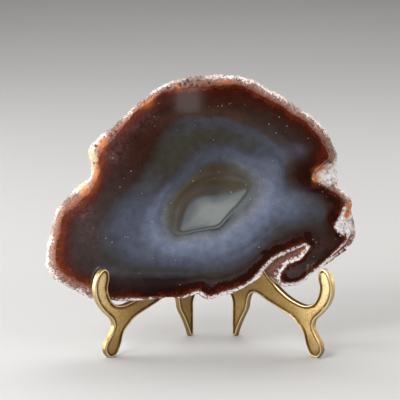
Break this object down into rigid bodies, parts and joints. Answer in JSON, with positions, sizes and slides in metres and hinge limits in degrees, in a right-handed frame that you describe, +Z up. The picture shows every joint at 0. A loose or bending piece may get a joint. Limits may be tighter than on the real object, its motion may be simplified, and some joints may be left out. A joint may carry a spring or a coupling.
{
  "type": "polished agate slice on a folding easel",
  "caption": "Polished slice of banded agate with its rough rind, standing on a folding cast brass easel whose hinged halves hook round the slab's lower edge.",
  "frame": {"origin": "on the table, under the middle of the whole object's box", "axes": "+Z up, +X to the right as seen from the front, -Y towards the viewer of the polished face"},
  "size_m": [0.1311, 0.0529, 0.1157],
  "materials": {
    "agate": "polished faces, rough rind",
    "brass": "satin cast"
  },
  "bodies": {
    "left_half": {"stand_left": "brass", "agate_slice": "agate", "hinge_pin": "brass"},
    "right_half": {"stand_right": "brass"}
  },
  "joints": [
    {"name": "stand_hinge", "type": "hinge", "parent": "left_half", "child": "right_half", "pos_m": [0.0049, 0.0239, 0.034], "axis": [0, 0, 1], "range_deg": [0, 25]}
  ]
}
